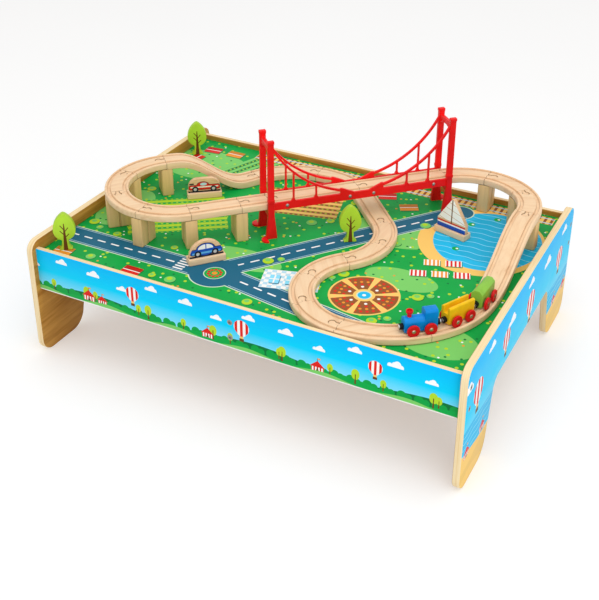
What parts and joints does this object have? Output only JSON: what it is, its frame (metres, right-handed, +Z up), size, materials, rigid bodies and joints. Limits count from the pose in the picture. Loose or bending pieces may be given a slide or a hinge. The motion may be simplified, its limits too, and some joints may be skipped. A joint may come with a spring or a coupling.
{
  "type": "train table",
  "caption": "Low play table with arched end panels and a tray top, carrying a wooden railway circuit with a suspension bridge, a coupled train, trees and toy blocks.",
  "frame": {"origin": "on the floor, in the middle of the table", "axes": "+X along the long side to the right, +Y from the front to the back, +Z up"},
  "size_m": [0.7482, 0.54, 0.364],
  "materials": {
    "panel_wood": "lacquered board with rounded edges",
    "rail_print": "printed board, satin",
    "board_print": "printed board, satin",
    "beam_wood": "plain softwood",
    "screw_steel": "zinc plated",
    "track_beech": "sanded beech",
    "deck_beech": "sanded beech",
    "pillar_beech": "sanded beech",
    "bridge_red": "moulded plastic",
    "stud_steel": "polished",
    "engine_blue": "gloss paint",
    "funnel_red": "gloss paint",
    "cup_black": "moulded plastic",
    "magnet_steel": "nickel plated",
    "hopper_yellow": "gloss paint",
    "boxcar_green": "gloss paint",
    "wheel_red": "moulded plastic",
    "axle_steel": "polished pin",
    "tree_lime": "painted",
    "block_beech": "sanded beech",
    "car_blue": "painted",
    "car_red": "painted",
    "sail_print": "painted"
  },
  "bodies": {
    "table": {"left_panel": "panel_wood", "right_panel": "panel_wood", "front_rail": "rail_print", "back_rail": "rail_print", "play_board": "board_print", "centre_beam": "beam_wood", "panel_screws": "screw_steel", "beam_screws": "screw_steel", "loop_curves": "track_beech", "approach_tracks": "track_beech", "deck_left": "deck_beech", "deck_right": "deck_beech", "right_curves": "track_beech", "right_ramp": "track_beech", "wide_curves": "track_beech", "front_curves": "track_beech", "s_curves": "track_beech", "link_track": "track_beech", "back_curves": "track_beech", "snake_ramp": "track_beech", "pillars": "pillar_beech", "tower_left": "bridge_red", "tower_right": "bridge_red", "plate_front_left": "bridge_red", "plate_front_right": "bridge_red", "plate_back_left": "bridge_red", "plate_back_right": "bridge_red", "bridge_screws": "stud_steel"},
    "engine": {"engine_body": "engine_blue", "engine_funnel": "funnel_red", "engine_cups": "cup_black", "engine_magnets": "magnet_steel"},
    "hopper": {"hopper_body": "hopper_yellow", "hopper_cups": "cup_black", "hopper_magnets": "magnet_steel"},
    "boxcar": {"boxcar_body": "boxcar_green", "boxcar_cups": "cup_black", "boxcar_magnets": "magnet_steel"},
    "engine_front_wheelset": {"engine_front_wheels": "wheel_red", "engine_front_axle": "axle_steel"},
    "engine_rear_wheelset": {"engine_rear_wheels": "wheel_red", "engine_rear_axle": "axle_steel"},
    "hopper_front_wheelset": {"hopper_front_wheels": "wheel_red", "hopper_front_axle": "axle_steel"},
    "hopper_rear_wheelset": {"hopper_rear_wheels": "wheel_red", "hopper_rear_axle": "axle_steel"},
    "boxcar_front_wheelset": {"boxcar_front_wheels": "wheel_red", "boxcar_front_axle": "axle_steel"},
    "boxcar_rear_wheelset": {"boxcar_rear_wheels": "wheel_red", "boxcar_rear_axle": "axle_steel"},
    "tree_front": {"tree_front": "tree_lime"},
    "tree_back": {"tree_back": "tree_lime"},
    "tree_middle": {"tree_middle": "tree_lime"},
    "blue_car": {"blue_car_base": "block_beech", "blue_car_board": "car_blue"},
    "race_car": {"race_car_base": "block_beech", "race_car_board": "car_red"},
    "sailboat": {"sailboat_base": "block_beech", "sailboat_board": "sail_print"}
  },
  "joints": [
    {"name": "engine_run", "type": "hinge", "parent": "table", "child": "engine", "pos_m": [0.1654, -0.06896, 0.201], "axis": [0, 0, -1], "range_deg": [0, 36]},
    {"name": "engine_front_roll", "type": "hinge", "parent": "engine", "child": "engine_front_wheelset", "pos_m": [0.26153, -0.19936, 0.2078], "axis": [0.6561, -0.7547, 0], "continuous": true},
    {"name": "engine_rear_roll", "type": "hinge", "parent": "engine", "child": "engine_rear_wheelset", "pos_m": [0.28115, -0.1823, 0.2078], "axis": [0.6561, -0.7547, 0], "continuous": true},
    {"name": "hopper_run", "type": "hinge", "parent": "table", "child": "hopper", "pos_m": [0.1654, -0.06896, 0.201], "axis": [0, 0, -1], "range_deg": [0, 36]},
    {"name": "hopper_front_roll", "type": "hinge", "parent": "hopper", "child": "hopper_front_wheelset", "pos_m": [0.30444, -0.15209, 0.2078], "axis": [0.8967, -0.4426, 0], "continuous": true},
    {"name": "hopper_rear_roll", "type": "hinge", "parent": "hopper", "child": "hopper_rear_wheelset", "pos_m": [0.31595, -0.12878, 0.2078], "axis": [0.8967, -0.4426, 0], "continuous": true},
    {"name": "boxcar_run", "type": "hinge", "parent": "table", "child": "boxcar", "pos_m": [0.1654, -0.06896, 0.201], "axis": [0, 0, -1], "range_deg": [0, 36]},
    {"name": "boxcar_front_roll", "type": "hinge", "parent": "boxcar", "child": "boxcar_front_wheelset", "pos_m": [0.32576, -0.09192, 0.2078], "axis": [0.9981, -0.0618, 0], "continuous": true},
    {"name": "boxcar_rear_roll", "type": "hinge", "parent": "boxcar", "child": "boxcar_rear_wheelset", "pos_m": [0.32737, -0.06597, 0.2078], "axis": [0.9981, -0.0618, 0], "continuous": true},
    {"name": "tree_front_lift", "type": "slide", "parent": "table", "child": "tree_front", "axis": [0, 0, 1], "range_m": [0, 0.08]},
    {"name": "tree_back_lift", "type": "slide", "parent": "table", "child": "tree_back", "axis": [0, 0, 1], "range_m": [0, 0.08]},
    {"name": "tree_middle_lift", "type": "slide", "parent": "table", "child": "tree_middle", "axis": [0, 0, 1], "range_m": [0, 0.08]},
    {"name": "blue_car_push", "type": "slide", "parent": "table", "child": "blue_car", "axis": [0.6561, 0.7547, 0], "range_m": [-0.04, 0.05]},
    {"name": "race_car_push", "type": "slide", "parent": "table", "child": "race_car", "axis": [0.788, 0.6157, 0], "range_m": [-0.015, 0.02]},
    {"name": "sailboat_push", "type": "slide", "parent": "table", "child": "sailboat", "axis": [0.9627, -0.2706, 0], "range_m": [-0.02, 0.03]}
  ],
  "couplings": [
    {"joint": "engine_front_roll", "follows": "engine_run", "ratio": 17.053},
    {"joint": "engine_rear_roll", "follows": "engine_run", "ratio": 17.053},
    {"joint": "hopper_run", "follows": "engine_run", "ratio": 1},
    {"joint": "hopper_front_roll", "follows": "engine_run", "ratio": 17.053},
    {"joint": "hopper_rear_roll", "follows": "engine_run", "ratio": 17.053},
    {"joint": "boxcar_run", "follows": "engine_run", "ratio": 1},
    {"joint": "boxcar_front_roll", "follows": "engine_run", "ratio": 17.053},
    {"joint": "boxcar_rear_roll", "follows": "engine_run", "ratio": 17.053}
  ]
}
